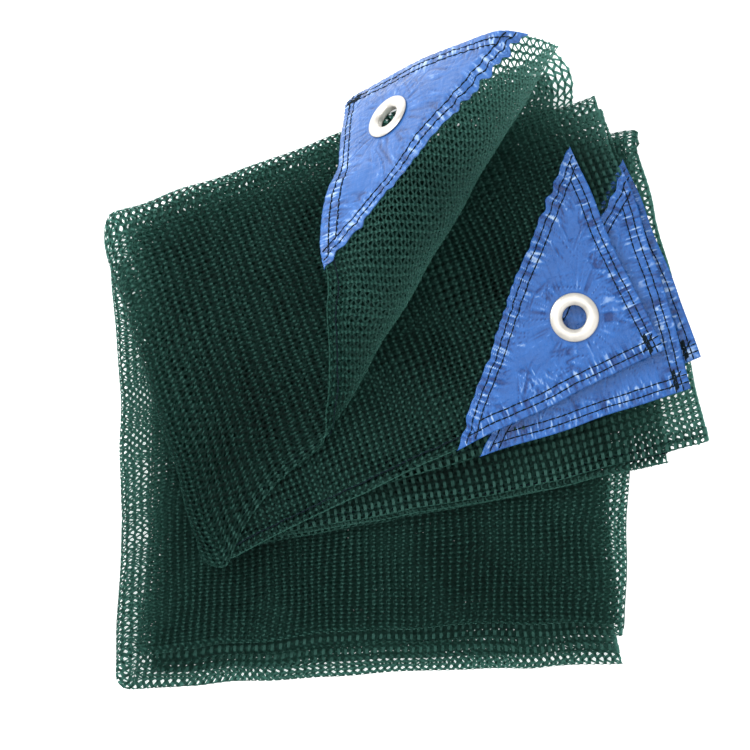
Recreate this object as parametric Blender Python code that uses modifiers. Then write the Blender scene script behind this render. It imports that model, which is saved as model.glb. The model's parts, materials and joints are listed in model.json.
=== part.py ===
"""A knitted olive harvesting net, folded in eighths, bent over once, with one corner turned back.

The net is one sheet. It is folded in half along its length, in half across its width and in half
again, which gives eight layers, and the packet of eight is then bent over a crease. Its four corners
come together at the lower right, each with a sewn patch of tarpaulin and a metal eyelet.
Lengths are millimetres until they reach a mesh, X to the right, Y away from the viewer, Z up.
"""
import math

import bmesh
import bpy
import numpy as np
from mathutils import Matrix, Vector

MM = 0.001

# The net
SHEET = 1.0             # thickness of the net
PITCH = 1.6             # from one layer to the next
PANEL_WIDTH = 245.0     # a quarter of the net's width
END_LENGTH = 140.0      # from a cut end to the crease that the packet is bent over
CREASE_BULGE = 16.0     # the furthest that the handles of a lengthwise fold reach out
SIDE_BULGE = 8.0        # and those of a sideways fold
CENTRE = (-0.4, -3.8, 0.0)    # of the whole part, which becomes the origin

# The corner patches and their eyelets
PATCH_LEG = 112.0
PATCH_THICKNESS = 1.0
SEWN_GAP = 0.3
EYELET_INSET = 32.5     # from both edges of the net to the eyelet's centre
EYELET_FLAT = 13.0      # half of the flat square that carries an eyelet
EYELET_HOLE = 7.0       # radius cut in the net and the patch
HOLE_SIDES = 24
CUT_BELOW = 1.1         # how far the cut reaches below the middle of the net, and over it
CUT_ABOVE = 2.5

# Lines across a panel, as distances from its right-hand edge, and along it, from its cut end
FLAT_LINES = [0.0, EYELET_INSET - EYELET_FLAT, EYELET_INSET + EYELET_FLAT]
FINE_WIDTH = FLAT_LINES + list(range(55, 175, 10)) + [177, 190, 208, 226, PANEL_WIDTH]
CORNER_WIDTH = FLAT_LINES + [70, 95, 120, 150, 180, 212, PANEL_WIDTH]
PLAIN_WIDTH = [0, 49, 98, 147, 196, PANEL_WIDTH]
FINE_LENGTH = FLAT_LINES + list(range(54, 140, 8)) + [END_LENGTH]
CORNER_LENGTH = FLAT_LINES + [62, 79, 96, 112, 126, END_LENGTH]
BASE_STEPS = 5
CREASE_STEPS = 5
SIDE_STEPS = 4
MIDDLE_STEPS = 3

# Where each layer lies, seen from above. A layer is named by its panel, from A at one selvedge to D
# at the other, and by the half of the net it belongs to. Columns: level in the stack, rise where the
# patches lie between the layers, crease left, crease right, end left, end right, then the bows of the
# crease, the end, the left edge and the right edge.
BASE_LAYERS = {
    "A1": (0, 0.0, (-143, 61), (84, 134), (-142, -162), (107, -152), 2, 2, 4, -8),
    "A2": (1, 0.0, (-132, 60.5), (74, 129), (-135, -162), (107, -152), 2, 2, 9, -8),
    "D2": (2, 0.0, (-127, 58), (96, 120), (-126, -156), (106, -146), 2, 2, 7, -10),
    "D1": (3, 0.0, (-123, 56), (99, 116), (-123, -153), (106, -146), 2, 2, 7, -10),
    "C1": (4, 0.0, (-123, 54), (112, 108), (-123, -151), (106, -137), 2, 3, 7, 0),
    "C2": (5, 0.0, (-127, 52), (108, 106), (-126, -148), (106, -137), 2, 3, 7, -9),
    "B2": (6, 0.0, (-132, 50.5), (108, 104), (-131, -145), (106, -131), 2, 5, 9, -9),
    "B1": (7, 0.0, (-143, 46), (112, 103), (-138, -145), (106, -131), 2, 5, 4, 0),
}
UPPER_LAYERS = {
    "B1": (8.12, 0.0, (-143, 46), (112, 103), (-100, -98), (147, -42), 2, -3, 0, 1),
    "B2": (9, 0.0, (-132, 50.5), (108, 104), (-94, -96), (128, -52), 2, -2, 0, 1),
    "C2": (10, 0.0, (-127, 52), (108, 106), (-82, -92), (128, -52), 2, -2, 0, 1),
    "C1": (11, 0.0, (-123, 54), (112, 108), (-79, -90), (147, -42), 2, -3, 0, 1),
    "D1": (12, 1.0, (-123, 56), (99, 118), (-80, -83), (145, 1), 2, 0, 0, 1),
    "D2": (13, 4.4, (-127, 58), (96, 121), (-83, -85), (140, -14), 2, -1, 0, 2),
    "A2": (14, 7.8, (-132, 60.5), (70, 133), (-85, -98), (127, 5), 2, 0, 0, -3),
    "A1": (15, 7.8, (-143, 61), (76, 151), (-89, -101), (175.5, 39), -4, 28, 0, 6),
}
BOW_LEAN = 3            # how far the bows of the top layer lie towards the end that they start from

# The line through the long edges of the patches, where the layers begin to part
RISE_START = (25.0, -42.0)
RISE_ACROSS = (0.939, -0.345)
RISE_FROM = -60.0
RISE_TO = 22.0

# The corner that is turned back: the outline of its roll on the packet, and its sections along the
# roll. Columns: place along the roll, radius, turn down past the top.
ROLL_START = (25.0, 71.0)
ROLL_ALONG = (0.507, 0.862)
ROLL_ACROSS = (0.862, -0.507)
TOP_SLOPE = math.radians(6)
TURN_RADIUS = 13.0
DROOP_RADIUS = 200.0    # of the cloth that hangs past the turn
SIDEWAYS = 0.0108       # how the turned-back cloth drifts back along the roll, times its reach squared
ROLL_SECTIONS = [
    (-215.0, 1.0, 0.0),
    (-150.0, 2.0, 10.0),
    (-117.0, 3.5, 25.0),
    (-94.0, 10.5, 28.0),
    (-72.0, 15.5, 22.0),
    (-55.0, 22.0, 17.0),
    (0.0, 29.0, 43.0),
    (45.0, 26.5, 41.0),
    (100.0, 18.5, 53.0),
    (140.0, 16.5, 53.0),
]

# The corners of the net. Columns: name, panel, half of the net, face of the net that the patch is on.
CORNERS = [
    ("1", "A", 1, 1),
    ("2", "A", 2, 1),
    ("3", "D", 2, -1),
    ("4", "D", 1, 1),
]

# An eyelet's section, as radius and height over the middle of the net, round from the bore
EYELET_SECTION = [
    (6.0, 1.9), (6.0, -0.4), (6.5, -1.5), (11.4, -1.5), (11.7, -1.1), (11.4, -0.8),
    (6.6, -0.8), (6.6, 2.1), (11.7, 2.1), (12.1, 2.4), (11.6, 2.9), (10.6, 3.0), (7.6, 3.0), (6.5, 2.7),
]
EYELET_STEPS = 24
CLOSE_TO_JOIN = 0.05

COLOURS = {
    "net": ((0.016, 0.075, 0.055), 0.55, 0.0),
    "tarpaulin": ((0.075, 0.2, 0.62), 0.35, 0.0),
    "eyelet": ((0.8, 0.76, 0.68), 0.35, 0.4),
}


def material(name):
    """A plain Principled material with the part's colour, roughness and metallic value."""
    made = bpy.data.materials.get(name) or bpy.data.materials.new(name)
    made.use_nodes = True
    shader = made.node_tree.nodes["Principled BSDF"]
    colour, roughness, metallic = COLOURS[name]
    shader.inputs["Base Color"].default_value = (*colour, 1.0)
    shader.inputs["Roughness"].default_value = roughness
    shader.inputs["Metallic"].default_value = metallic
    return made


def smooth(value):
    """An even rise from 0 to 1."""
    held = min(1.0, max(0.0, value))
    return held * held * (3.0 - 2.0 * held)


def bowed(start, end, bow, share, lean=1):
    """A point of an edge that bows to the left of its run, furthest at a share of 1 / (1 + lean)."""
    start, end = np.array(start, float), np.array(end, float)
    run = end - start
    side = np.array((-run[1], run[0])) / np.linalg.norm(run)
    top = lean ** lean / (1.0 + lean) ** (1 + lean)
    return start + run * share + side * bow * share * max(0.0, 1.0 - share) ** lean / top


def spread(distance, flat, real):
    """How far a line lies from its edge once the flat length is eased to the real one, most of it far off."""
    return distance + (real - flat) * (distance / flat) ** 3


def plan(layer, across, along):
    """The plan point of a layer at shares of its width, from the left, and of its length, from the crease."""
    _, _, crease_l, crease_r, end_l, end_r, crease_bow, end_bow, left_bow, right_bow = layer
    lean = BOW_LEAN if layer is UPPER_LAYERS["A1"] else 1
    crease = bowed(crease_l, crease_r, crease_bow, across)
    end = bowed(end_l, end_r, end_bow, across, lean)
    left = bowed(crease_l, end_l, left_bow, along)
    right = bowed(crease_r, end_r, right_bow, along, lean)
    corners = [np.array(corner, float) for corner in (crease_l, crease_r, end_l, end_r)]
    top = corners[0] * (1 - across) + corners[1] * across
    bottom = corners[2] * (1 - across) + corners[3] * across
    flat = top * (1 - along) + bottom * along
    return crease * (1 - along) + end * along + left * (1 - across) + right * across - flat


def rise(point):
    """The share of a layer's rise at a plan point."""
    offset = (point[0] - RISE_START[0]) * RISE_ACROSS[0] + (point[1] - RISE_START[1]) * RISE_ACROSS[1]
    return smooth((offset - RISE_FROM) / (RISE_TO - RISE_FROM))


def rolled(length, radius, turn):
    """Where a point lies that is this far along the cloth from the foot of the roll: across and up."""
    half = math.pi * radius
    if length <= half:
        angle = length / radius
        return radius * math.sin(angle), radius * (1.0 - math.cos(angle))
    length -= half
    heading = math.pi + TOP_SLOPE
    bend = min(length, TURN_RADIUS * math.radians(turn))
    after = heading + bend / TURN_RADIUS
    across = TURN_RADIUS * (math.sin(after) - math.sin(heading))
    up = 2.0 * radius + TURN_RADIUS * (math.cos(heading) - math.cos(after))
    last = after + (length - bend) / DROOP_RADIUS
    across += DROOP_RADIUS * (math.sin(last) - math.sin(after))
    return across, up + DROOP_RADIUS * (math.cos(after) - math.cos(last))


def curl(point):
    """A plan point of the top layer, turned over with the roll: the new plan point and its height."""
    away = point - np.array(ROLL_START)
    along, across = float(away @ ROLL_ALONG), float(away @ ROLL_ACROSS)
    places = [section[0] for section in ROLL_SECTIONS]
    radius, turn = (np.interp(along, places, column) for column in list(zip(*ROLL_SECTIONS))[1:])
    length = across + radius
    if length <= 0.0:
        return point, 0.0
    moved, up = rolled(length, radius, turn)
    along -= min(0.0, moved) ** 2 * SIDEWAYS
    return np.array(ROLL_START) + along * np.array(ROLL_ALONG) + (moved - radius) * np.array(ROLL_ACROSS), up


def spot(layers, name, across, along):
    """The middle of the net at one place of a layer."""
    layer = layers[name]
    point, up = plan(layer, across, along), 0.0
    if layers is UPPER_LAYERS and name == "A1":
        point, up = curl(point)
    return np.array((point[0], point[1], SHEET / 2 + layer[0] * PITCH + layer[1] * rise(point) + up))


def side_length(layer, first, second):
    """The length of one side of a layer, between two of its corners."""
    return math.dist(layer[first], layer[second])


def upper_rows(name, width, lengths):
    """The lines of a layer's upper part, from the cut end to the crease, at one distance from its right edge."""
    layer = UPPER_LAYERS[name]
    real_width = 0.5 * (side_length(layer, 2, 3) + side_length(layer, 4, 5))
    real_length = side_length(layer, 3, 5)
    across = 1.0 - spread(width, PANEL_WIDTH, real_width) / real_width
    shares = [1.0 - spread(length, END_LENGTH, real_length) / real_length for length in lengths]
    return [spot(UPPER_LAYERS, name, across, share) for share in shares]


def base_rows(name, width):
    """The lines of a layer's lower part, from the crease to the fold across the middle."""
    across = 1.0 - width / PANEL_WIDTH
    return [spot(BASE_LAYERS, name, across, step / BASE_STEPS) for step in range(BASE_STEPS + 1)]


def fold(before, start, end, after, steps, bulge, edge=None):
    """The points of a rounded fold between two layers, given the last two points of each.

    What the layers are shifted along the edge, where one is given, doesn't make the fold wider.
    """
    apart = end - start
    if edge is not None:
        apart = apart - edge * (apart @ edge) / (edge @ edge)
    reach = min(np.linalg.norm(apart) * 2.0 / 3.0, bulge)
    out_start = start + (start - before) / np.linalg.norm(start - before) * reach
    out_end = end + (end - after) / np.linalg.norm(end - after) * reach
    points = []
    for step in range(1, steps):
        t = step / steps
        points.append((1 - t) ** 3 * start + 3 * t * (1 - t) ** 2 * out_start
                      + 3 * t * t * (1 - t) * out_end + t ** 3 * end)
    return points


def panel_column(panel, width):
    """One line of the net from cut end to cut end, at one distance from its panel's right edge."""
    first_up = upper_rows(panel + "1", width, FINE_LENGTH)
    first_base = base_rows(panel + "1", width)
    second_base = base_rows(panel + "2", width)[::-1]
    second_up = upper_rows(panel + "2", width, CORNER_LENGTH)[::-1]
    line = list(first_up)
    line += fold(first_up[-2], first_up[-1], first_base[0], first_base[1], CREASE_STEPS, CREASE_BULGE)
    line += first_base
    line += fold(first_base[-2], first_base[-1], second_base[0], second_base[1], MIDDLE_STEPS, CREASE_BULGE)
    line += second_base
    line += fold(second_base[-2], second_base[-1], second_up[0], second_up[1], CREASE_STEPS, CREASE_BULGE)
    line += second_up
    return line


def net_points():
    """The whole net as rows of points: across from selvedge to selvedge, along from end to end."""
    panels = [
        [panel_column("A", width) for width in FINE_WIDTH],
        [panel_column("B", width) for width in PLAIN_WIDTH[::-1]],
        [panel_column("C", width) for width in PLAIN_WIDTH],
        [panel_column("D", width) for width in CORNER_WIDTH[::-1]],
    ]
    columns = list(panels[0])
    for panel in panels[1:]:
        start, end = columns[-2:], panel[:2]
        edges = np.gradient(np.array(start[1]), axis=0) + np.gradient(np.array(end[0]), axis=0)
        folds = [fold(start[0][row], start[1][row], end[0][row], end[1][row], SIDE_STEPS, SIDE_BULGE, edges[row])
                 for row in range(len(panel[0]))]
        columns += [list(line) for line in zip(*folds)]
        columns += panel
    points = np.array(columns)
    for corner in CORNERS:
        flatten(points, *corner_cell(points, corner))
    return points - np.array(CENTRE)


def corner_cell(points, corner):
    """The first column and row of the flat square that carries a corner's eyelet, and the steps from it."""
    column, across = (1, 1) if corner[1] == "A" else (len(points) - 2, -1)
    row, along = (1, 1) if corner[2] == 1 else (len(points[0]) - 2, -1)
    return column, row, across, along


def flatten(points, column, row, across, along):
    """Moves the four points of a cell into one plane."""
    cell = [(column, row), (column + across, row), (column + across, row + along), (column, row + along)]
    middle = sum(points[place] for place in cell) / 4.0
    normal = np.cross(points[cell[2]] - points[cell[0]], points[cell[3]] - points[cell[1]])
    normal /= np.linalg.norm(normal)
    for place in cell:
        points[place] -= normal * float((points[place] - middle) @ normal)


def grid_mesh(name, columns, rows, slant=1):
    """A flat grid of unit cells, each cut along the diagonal that rises to the right, or falls where slant is -1."""
    mesh = bpy.data.meshes.new(name)
    bm = bmesh.new()
    bmesh.ops.create_grid(bm, x_segments=columns - 1, y_segments=rows - 1, size=0.5)
    for vert in bm.verts:
        vert.co = ((vert.co.x + 0.5) * (columns - 1), (vert.co.y + 0.5) * (rows - 1), 0.0)
    for face in list(bm.faces):
        low = min(face.verts, key=lambda vert: vert.co.x + slant * vert.co.y)
        high = max(face.verts, key=lambda vert: vert.co.x + slant * vert.co.y)
        bmesh.utils.face_split(face, low, high)
    bm.to_mesh(mesh)
    bm.free()
    return mesh


def add_object(name, mesh, finish, home):
    made = bpy.data.objects.new(name, mesh)
    mesh.materials.append(material(finish))
    home.objects.link(made)
    return made


def thicken(target, thickness, offset):
    shell = target.modifiers.new("thickness", "SOLIDIFY")
    shell.thickness = thickness * MM
    shell.offset = offset
    shell.use_even_offset = False


def cut_hole(target, cutter):
    hole = target.modifiers.new("eyelet hole", "BOOLEAN")
    hole.operation = "DIFFERENCE"
    hole.object = cutter


def net(points, home):
    """The net itself, and its normal at each of its points."""
    columns, rows = points.shape[:2]
    mesh = grid_mesh("net", columns, rows)
    places = [(round(vert.co.x), round(vert.co.y)) for vert in mesh.vertices]
    for vert, place in zip(mesh.vertices, places):
        vert.co = points[place] * MM
    made = add_object("net", mesh, "net", home)
    thicken(made, SHEET, 0.0)
    mesh.update()
    normals = np.zeros(points.shape)
    for vert, place in zip(mesh.vertices, places):
        normals[place] = vert.normal
    mesh.shade_smooth()
    return made, normals


def on_net(values, x, y):
    """A value of the net's points at a place between them, over its triangles."""
    columns, rows = values.shape[:2]
    i, j = min(int(x), columns - 2), min(int(y), rows - 2)
    fx, fy = x - i, y - j
    low, high = values[i, j], values[i + 1, j + 1]
    if fx >= fy:
        side = values[i + 1, j]
        return low + (side - low) * fx + (high - side) * fy
    side = values[i, j + 1]
    return low + (side - low) * fy + (high - side) * fx


def corner_place(points, corner, from_side, from_end):
    """The place among the net's points of a spot at these distances from a corner's two edges."""
    side_lines = FINE_WIDTH if corner[1] == "A" else CORNER_WIDTH
    end_lines = FINE_LENGTH if corner[2] == 1 else CORNER_LENGTH
    x = float(np.interp(from_side, side_lines, range(len(side_lines))))
    y = float(np.interp(from_end, end_lines, range(len(end_lines))))
    if corner[1] == "D":
        x = len(points) - 1 - x
    if corner[2] == 2:
        y = len(points[0]) - 1 - y
    return x, y


def patch(corner, points, normals, cutter, home):
    """A triangle of tarpaulin over one corner of the net, following its folds."""
    side_lines = FINE_WIDTH if corner[1] == "A" else CORNER_WIDTH
    end_lines = FINE_LENGTH if corner[2] == 1 else CORNER_LENGTH
    columns = sum(1 for line in side_lines if line < PATCH_LEG) + 1
    rows = sum(1 for line in end_lines if line < PATCH_LEG) + 1
    under = points + normals * corner[3] * (SHEET / 2 + SEWN_GAP)
    mirrored = (corner[1] == "D") != (corner[2] == 2)
    mesh = grid_mesh("patch_" + corner[0], columns, rows, -1 if mirrored else 1)
    bm = bmesh.new()
    bm.from_mesh(mesh)
    for vert in bm.verts:
        vert.co = (np.interp(vert.co.x, range(len(side_lines)), side_lines),
                   np.interp(vert.co.y, range(len(end_lines)), end_lines), 0.0)
    bmesh.ops.bisect_plane(bm, geom=bm.verts[:] + bm.edges[:] + bm.faces[:], dist=1e-4,
                           plane_co=(PATCH_LEG, 0, 0), plane_no=(1, 1, 0), clear_outer=True)
    for vert in bm.verts:
        vert.co = on_net(under, *corner_place(points, corner, vert.co.x, vert.co.y)) * MM
    bmesh.ops.triangulate(bm, faces=bm.faces[:])
    if mirrored != (corner[3] < 0):
        bmesh.ops.reverse_faces(bm, faces=bm.faces[:])
    bm.to_mesh(mesh)
    bm.free()
    made = add_object("patch_" + corner[0], mesh, "tarpaulin", home)
    thicken(made, PATCH_THICKNESS, 1.0)
    cut_hole(made, cutter)
    mesh.shade_smooth()
    return made


def eyelet_frame(corner, points, normals):
    """The matrix of an eyelet: its origin in the middle of the net, its Z out of the patch."""
    x, y = corner_place(points, corner, EYELET_INSET, EYELET_INSET)
    column, row, across, along = corner_cell(points, corner)
    side = Vector(points[column + across, row] - points[column, row]).normalized()
    normal = Vector(np.cross(points[column + across, row + along] - points[column, row],
                             points[column, row + along] - points[column + across, row])).normalized()
    if normal.dot(Vector(on_net(normals, x, y))) * corner[3] < 0:
        normal.negate()
    middle = sum(points[column + i, row + j] for i in (0, across) for j in (0, along)) / 4.0
    return Matrix.Translation(Vector(middle) * MM) @ Matrix(
        (side, normal.cross(side), normal)).transposed().to_4x4()


def eyelet(name, frame, home):
    """A pressed eyelet: a domed flange, a barrel through patch and net, and a washer behind."""
    mesh = bpy.data.meshes.new(name)
    bm = bmesh.new()
    ring = [bm.verts.new((radius * MM, 0.0, height * MM)) for radius, height in EYELET_SECTION]
    for start, end in zip(ring, ring[1:] + ring[:1]):
        bm.edges.new((start, end))
    bm.to_mesh(mesh)
    bm.free()
    made = add_object(name, mesh, "eyelet", home)
    made.matrix_world = frame
    turn = made.modifiers.new("turn", "SCREW")
    turn.angle = 2 * math.pi
    turn.steps = EYELET_STEPS
    turn.render_steps = EYELET_STEPS
    turn.use_merge_vertices = True
    turn.merge_threshold = CLOSE_TO_JOIN * MM
    turn.use_normal_calculate = True
    return made


def hole_cutter(name, frame, home):
    """A cylinder that cuts the net and the patch but not the layers beside them."""
    depth = CUT_BELOW + CUT_ABOVE
    bpy.ops.mesh.primitive_cylinder_add(vertices=HOLE_SIDES, radius=EYELET_HOLE * MM, depth=depth * MM)
    made = bpy.context.object
    made.name = name
    for other in made.users_collection:
        other.objects.unlink(made)
    home.objects.link(made)
    made.matrix_world = frame @ Matrix.Translation((0, 0, (CUT_ABOVE - CUT_BELOW) / 2 * MM))
    made.hide_render = True
    made.display_type = "WIRE"
    return made


def build():
    for old in list(bpy.data.objects):
        bpy.data.objects.remove(old, do_unlink=True)
    part = bpy.data.collections.new("olive_harvesting_net")
    tools = bpy.data.collections.new("cutters")
    for home in (part, tools):
        bpy.context.scene.collection.children.link(home)
    points = net_points()
    sheet, normals = net(points, part)
    for corner in CORNERS:
        frame = eyelet_frame(corner, points, normals)
        cutter = hole_cutter("hole_" + corner[0], frame, tools)
        cut_hole(sheet, cutter)
        patch(corner, points, normals, cutter, part)
        eyelet("eyelet_" + corner[0], frame, part)


build()
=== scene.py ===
# %% [markdown]
# # A folded olive harvesting net
# An olive net is one knitted sheet with a triangle of tarpaulin and an eyelet at each corner. This one is
# folded to eight layers, bent over once, and its top corner is turned back. The notebook dresses the packed
# CAD model: it repeats the folds on a finer grid, and lays real stitches, patches, thread and eyelets on it.

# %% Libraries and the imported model
import json
import math

import bmesh
import bpy
import numpy as np
from mathutils import Matrix, Vector, noise

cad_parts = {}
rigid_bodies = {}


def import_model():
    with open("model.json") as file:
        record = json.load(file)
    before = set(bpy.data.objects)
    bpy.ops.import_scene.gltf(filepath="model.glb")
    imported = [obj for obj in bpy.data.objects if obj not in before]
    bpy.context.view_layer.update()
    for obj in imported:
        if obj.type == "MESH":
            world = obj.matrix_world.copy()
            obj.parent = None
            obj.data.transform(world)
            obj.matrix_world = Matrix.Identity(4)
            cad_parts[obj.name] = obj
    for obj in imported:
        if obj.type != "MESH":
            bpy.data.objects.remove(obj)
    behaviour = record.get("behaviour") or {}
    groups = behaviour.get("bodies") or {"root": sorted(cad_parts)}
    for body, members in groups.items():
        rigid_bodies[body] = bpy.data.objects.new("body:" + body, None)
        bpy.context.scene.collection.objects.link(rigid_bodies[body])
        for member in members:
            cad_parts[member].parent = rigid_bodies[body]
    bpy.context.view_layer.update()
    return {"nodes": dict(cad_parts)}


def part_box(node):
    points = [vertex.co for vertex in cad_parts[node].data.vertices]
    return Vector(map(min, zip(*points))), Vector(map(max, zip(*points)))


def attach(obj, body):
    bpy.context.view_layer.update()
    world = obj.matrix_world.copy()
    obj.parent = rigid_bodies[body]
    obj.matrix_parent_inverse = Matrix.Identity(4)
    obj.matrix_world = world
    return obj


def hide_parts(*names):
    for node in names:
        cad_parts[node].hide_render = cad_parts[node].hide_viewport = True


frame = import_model()
scene = bpy.context.scene
MM = 0.001
print("CAD nodes:", sorted(frame["nodes"]))

# %% [markdown]
# ## Camera
# The photograph looks straight down from far away. A long lens keeps the walls of the fold out of sight, so
# the outline of the packet in the picture is its plan.

# %% Camera
CAMERA_SPOT = (-0.01585, -0.0042, 2.0833)
LENS = 200
SENSOR = 36


def add_object(name, data, where):
    """Puts a mesh, a camera or a lamp in a collection as an object."""
    made = bpy.data.objects.new(name, data)
    where.objects.link(made)
    return made


camera_data = bpy.data.cameras.new("camera")
camera_data.lens = LENS
camera_data.sensor_width = SENSOR
camera_data.clip_end = 20
camera = add_object("camera", camera_data, scene.collection)
camera.location = CAMERA_SPOT
scene.camera = camera
print("the camera sees", round(CAMERA_SPOT[2] * SENSOR / LENS, 3), "m across")

# %% [markdown]
# ## Where the layers lie
# A net is folded like a letter, so each layer is a quadrilateral that shares its folds with its neighbours.
# A table with a row for each layer is easier to read and to change than a cloth simulation, and it gives
# the same folds every time. Lengths are in millimetres here.

# %% Tables of the layers
SHEET = 1.0             # the net's thickness
PITCH = 1.6             # from one layer to the next
PANEL_WIDTH = 245.0     # nominal width of a panel
END_LENGTH = 140.0      # nominal length of a panel's upper part
CREASE_BULGE = 16.0     # how far the folds at the crease and the far edge may reach out
SIDE_BULGE = 8.0        # and those at the sides

# The middle of the packet in the plan of the tables below.
CENTRE = (-0.4, -3.8, 0.0)

# Columns: level, rise, crease left and right, end left and right, bows of crease, end, left and right.
BASE_LAYERS = {
    "A1": (0, 0.0, (-143, 61), (84, 134), (-142, -162), (107, -152), 2, 2, 4, -8),
    "A2": (1, 0.0, (-132, 60.5), (74, 129), (-135, -162), (107, -152), 2, 2, 9, -8),
    "D2": (2, 0.0, (-127, 58), (96, 120), (-126, -156), (106, -146), 2, 2, 7, -10),
    "D1": (3, 0.0, (-123, 56), (99, 116), (-123, -153), (106, -146), 2, 2, 7, -10),
    "C1": (4, 0.0, (-123, 54), (112, 108), (-123, -151), (106, -137), 2, 3, 7, 0),
    "C2": (5, 0.0, (-127, 52), (108, 106), (-126, -148), (106, -137), 2, 3, 7, -9),
    "B2": (6, 0.0, (-132, 50.5), (108, 104), (-131, -145), (106, -131), 2, 5, 9, -9),
    "B1": (7, 0.0, (-143, 46), (112, 103), (-138, -145), (106, -131), 2, 5, 4, 0),
}
UPPER_LAYERS = {
    "B1": (8.12, 0.0, (-143, 46), (112, 103), (-100, -98), (147, -42), 2, -3, 0, 1),
    "B2": (9, 0.0, (-132, 50.5), (108, 104), (-94, -96), (128, -52), 2, -2, 0, 1),
    "C2": (10, 0.0, (-127, 52), (108, 106), (-82, -92), (128, -52), 2, -2, 0, 1),
    "C1": (11, 0.0, (-123, 54), (112, 108), (-79, -90), (147, -42), 2, -3, 0, 1),
    "D1": (12, 1.0, (-123, 56), (99, 118), (-80, -83), (145, 1), 2, 0, 0, 1),
    "D2": (13, 4.4, (-127, 58), (96, 121), (-83, -85), (140, -14), 2, -1, 0, 2),
    "A2": (14, 7.8, (-132, 60.5), (70, 133), (-85, -98), (127, 5), 2, 0, 0, -3),
    "A1": (15, 7.8, (-143, 61), (76, 151), (-89, -101), (175.5, 39), -4, 28, 0, 6),
}

# The upper layers rise towards the turned corner, from a line through this point and across it.
RISE_START = (25.0, -42.0)
RISE_ACROSS = (0.939, -0.345)
RISE_FROM = -60.0
RISE_TO = 22.0

# The edges of the top layer bow most near their start, by this power of the length that is left.
BOW_LEAN = 3

# The corner that is turned back: where its roll runs, how steep it lies and how it slides along the roll.
ROLL_START = (25.0, 71.0)
ROLL_ALONG = (0.507, 0.862)
ROLL_ACROSS = (0.862, -0.507)
TOP_SLOPE = math.radians(6)
TURN_RADIUS = 13.0
DROOP_RADIUS = 200.0
SIDEWAYS = 0.0108

# Columns: place along the roll, radius, turn down past the top in degrees.
ROLL_SECTIONS = [
    (-215.0, 1.0, 0.0),
    (-150.0, 2.0, 10.0),
    (-117.0, 3.5, 25.0),
    (-94.0, 10.5, 28.0),
    (-72.0, 15.5, 22.0),
    (-55.0, 22.0, 17.0),
    (0.0, 29.0, 43.0),
    (45.0, 26.5, 41.0),
    (100.0, 18.5, 53.0),
    (140.0, 16.5, 53.0),
]

# Corners of the net. Columns: name, panel, half of the net, face of the net that carries the patch.
CORNERS = [("1", "A", 1, 1), ("2", "A", 2, 1), ("3", "D", 2, -1), ("4", "D", 1, 1)]
EYELET_INSET = 32.5     # from both edges of the net
EYELET_FLAT = 13.0      # half the side of the flat square round it

# %% [markdown]
# ## From the table to points
# Each layer is a patch between its four edges, and the edges bow a little. All points of a layer are worked
# out at once as arrays, which keeps nearly 35,000 of them quick.

# %% A layer's plan
def smooth(value):
    """An even rise from 0 to 1."""
    held = np.clip(value, 0.0, 1.0)
    return held * held * (3.0 - 2.0 * held)


def bowed(start, end, bow, share, lean=1):
    """Points of an edge that bows to the left of its run."""
    start, end = np.array(start, float), np.array(end, float)
    run = end - start
    side = np.array((-run[1], run[0])) / np.linalg.norm(run)
    top = lean ** lean / (1.0 + lean) ** (1 + lean)
    reach = bow * share * np.maximum(0.0, 1.0 - share) ** lean / top
    return start + share[..., None] * run + reach[..., None] * side


def plan(layer, across, along, lean):
    """Plan points of a layer at shares of its width, from the left, and of its length, from the crease."""
    _, _, crease_l, crease_r, end_l, end_r, crease_bow, end_bow, left_bow, right_bow = layer
    across, along = np.broadcast_arrays(across[:, None], along[None, :])
    crease = bowed(crease_l, crease_r, crease_bow, across)
    end = bowed(end_l, end_r, end_bow, across, lean)
    left = bowed(crease_l, end_l, left_bow, along)
    right = bowed(crease_r, end_r, right_bow, along, lean)
    x, y = across[..., None], along[..., None]
    top = np.array(crease_l) * (1 - x) + np.array(crease_r) * x
    bottom = np.array(end_l) * (1 - x) + np.array(end_r) * x
    return crease * (1 - y) + end * y + left * (1 - x) + right * x - top * (1 - y) - bottom * y


# %% The corner that is turned back
def rolled(length, radius, turn):
    """Where points lie that are this far along the cloth from the foot of the roll: across and up."""
    angle = np.clip(length / radius, 0.0, math.pi)
    rest = np.maximum(length - math.pi * radius, 0.0)
    heading = math.pi + TOP_SLOPE
    bend = np.minimum(rest, TURN_RADIUS * np.radians(turn))
    after = heading + bend / TURN_RADIUS
    last = after + (rest - bend) / DROOP_RADIUS
    across = radius * np.sin(angle) + TURN_RADIUS * (np.sin(after) - math.sin(heading))
    across += DROOP_RADIUS * (np.sin(last) - np.sin(after))
    up = radius * (1.0 - np.cos(angle)) + TURN_RADIUS * (math.cos(heading) - np.cos(after))
    up += DROOP_RADIUS * (np.cos(after) - np.cos(last))
    return across, up


def curl(points):
    """Plan points of the top layer, turned over with the roll: the new plan points and their heights."""
    away = points - np.array(ROLL_START)
    along, across = away @ np.array(ROLL_ALONG), away @ np.array(ROLL_ACROSS)
    places, radii, turns = (np.array(column) for column in zip(*ROLL_SECTIONS))
    radius, turn = (np.interp(along, places, column) for column in (radii, turns))
    length = across + radius
    moved, up = rolled(length, radius, turn)
    drift = along - np.minimum(0.0, moved) ** 2 * SIDEWAYS
    turned = np.array(ROLL_START) + drift[..., None] * np.array(ROLL_ALONG)
    turned = turned + (moved - radius)[..., None] * np.array(ROLL_ACROSS)
    over = length > 0.0
    return np.where(over[..., None], turned, points), np.where(over, up, 0.0)


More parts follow.
